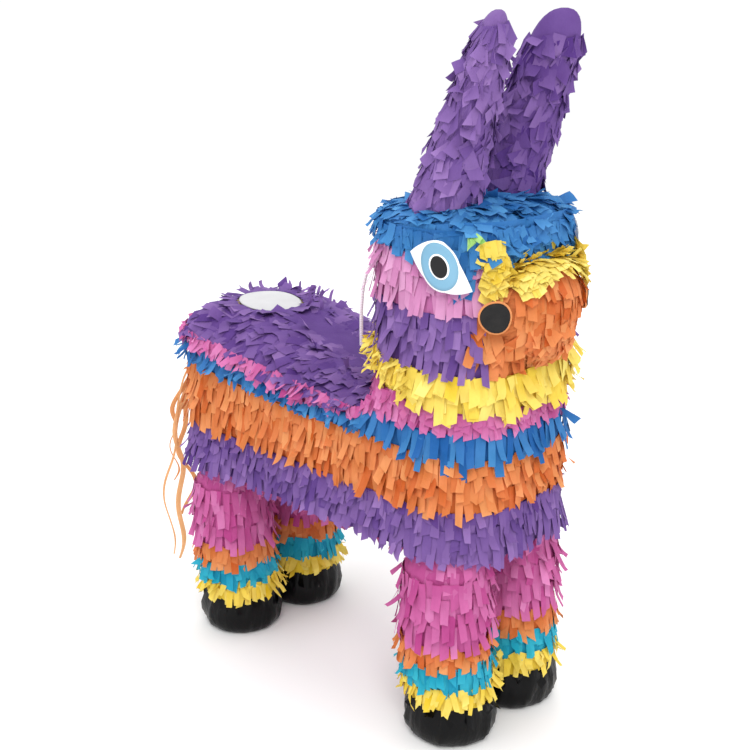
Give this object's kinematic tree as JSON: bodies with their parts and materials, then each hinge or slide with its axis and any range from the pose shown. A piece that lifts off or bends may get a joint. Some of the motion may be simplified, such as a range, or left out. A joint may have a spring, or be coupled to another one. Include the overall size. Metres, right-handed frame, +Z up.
{
  "type": "pinata",
  "caption": "Standing donkey pinata: a hollow card body on tube legs, wrapped in bright fringed tissue, with a filling flap, hanging cord and paper tail.",
  "frame": {"origin": "on the ground, under the middle of the object's bounding box", "axes": "+Z up, the donkey faces -Y, and X = 0 is its mirror plane with its left side at +X"},
  "size_m": [0.1584, 0.4423, 0.5478],
  "materials": {
    "card": "matte",
    "ear_paper": "matte",
    "tissue_purple": "matte",
    "tissue_pink": "matte",
    "tissue_orange": "matte",
    "tissue_blue": "matte",
    "tissue_yellow": "matte",
    "tissue_cyan": "matte",
    "tissue_black": "matte",
    "eye_paper": "matte",
    "nostril_paper": "matte",
    "label_paper": "matte",
    "cord": "matte",
    "tail_paper": "matte",
    "streamer_paper": "matte"
  },
  "bodies": {
    "body": {"back_panel": "card", "belly_panel": "card", "rump_panel": "card", "face_panel": "card", "nape_panel": "card", "crown_panel": "card", "flank_panel_left": "card", "flank_panel_right": "card", "muzzle_cup": "card", "leg_tube_front_right": "card", "leg_tube_front_left": "card", "leg_tube_rear_right": "card", "leg_tube_rear_left": "card", "cord_washer_back": "card", "cord_washer_head": "card", "ear_left": "ear_paper", "ear_right": "ear_paper", "saddle_fringe_purple": "tissue_purple", "body_fringe_purple": "tissue_purple", "head_fringe_purple": "tissue_purple", "ear_fringe_left": "tissue_purple", "ear_fringe_right": "tissue_purple", "body_fringe_pink": "tissue_pink", "head_fringe_pink": "tissue_pink", "belly_fringe_pink": "tissue_pink", "leg_fringe_pink_front_right": "tissue_pink", "leg_fringe_pink_front_left": "tissue_pink", "leg_fringe_pink_rear_right": "tissue_pink", "leg_fringe_pink_rear_left": "tissue_pink", "body_fringe_orange": "tissue_orange", "muzzle_fringe_orange": "tissue_orange", "leg_fringe_orange_front_right": "tissue_orange", "leg_fringe_orange_front_left": "tissue_orange", "leg_fringe_orange_rear_right": "tissue_orange", "leg_fringe_orange_rear_left": "tissue_orange", "body_fringe_blue": "tissue_blue", "crown_fringe_blue": "tissue_blue", "collar_fringe_yellow": "tissue_yellow", "muzzle_fringe_yellow": "tissue_yellow", "leg_fringe_yellow_front_right": "tissue_yellow", "leg_fringe_yellow_front_left": "tissue_yellow", "leg_fringe_yellow_rear_right": "tissue_yellow", "leg_fringe_yellow_rear_left": "tissue_yellow", "leg_fringe_cyan_front_right": "tissue_cyan", "leg_fringe_cyan_front_left": "tissue_cyan", "leg_fringe_cyan_rear_right": "tissue_cyan", "leg_fringe_cyan_rear_left": "tissue_cyan", "hoof_front_right": "tissue_black", "hoof_front_left": "tissue_black", "hoof_rear_right": "tissue_black", "hoof_rear_left": "tissue_black", "eye_left": "eye_paper", "nostril_left": "nostril_paper", "eye_right": "eye_paper", "nostril_right": "nostril_paper", "hang_cord": "cord"},
    "flap": {"fill_flap": "card", "fill_label": "label_paper"},
    "tail": {"tail_stem": "tail_paper", "tail_streamers": "streamer_paper"}
  },
  "joints": [
    {"name": "flap_hinge", "type": "hinge", "parent": "body", "child": "flap", "pos_m": [0, 0.1282, 0.2971], "axis": [-1, 0, 0], "range_deg": [0, 75]},
    {"name": "tail_swing", "type": "hinge", "parent": "body", "child": "tail", "pos_m": [0, 0.1686, 0.24], "axis": [1, 0, 0], "range_deg": [0, 40]}
  ]
}
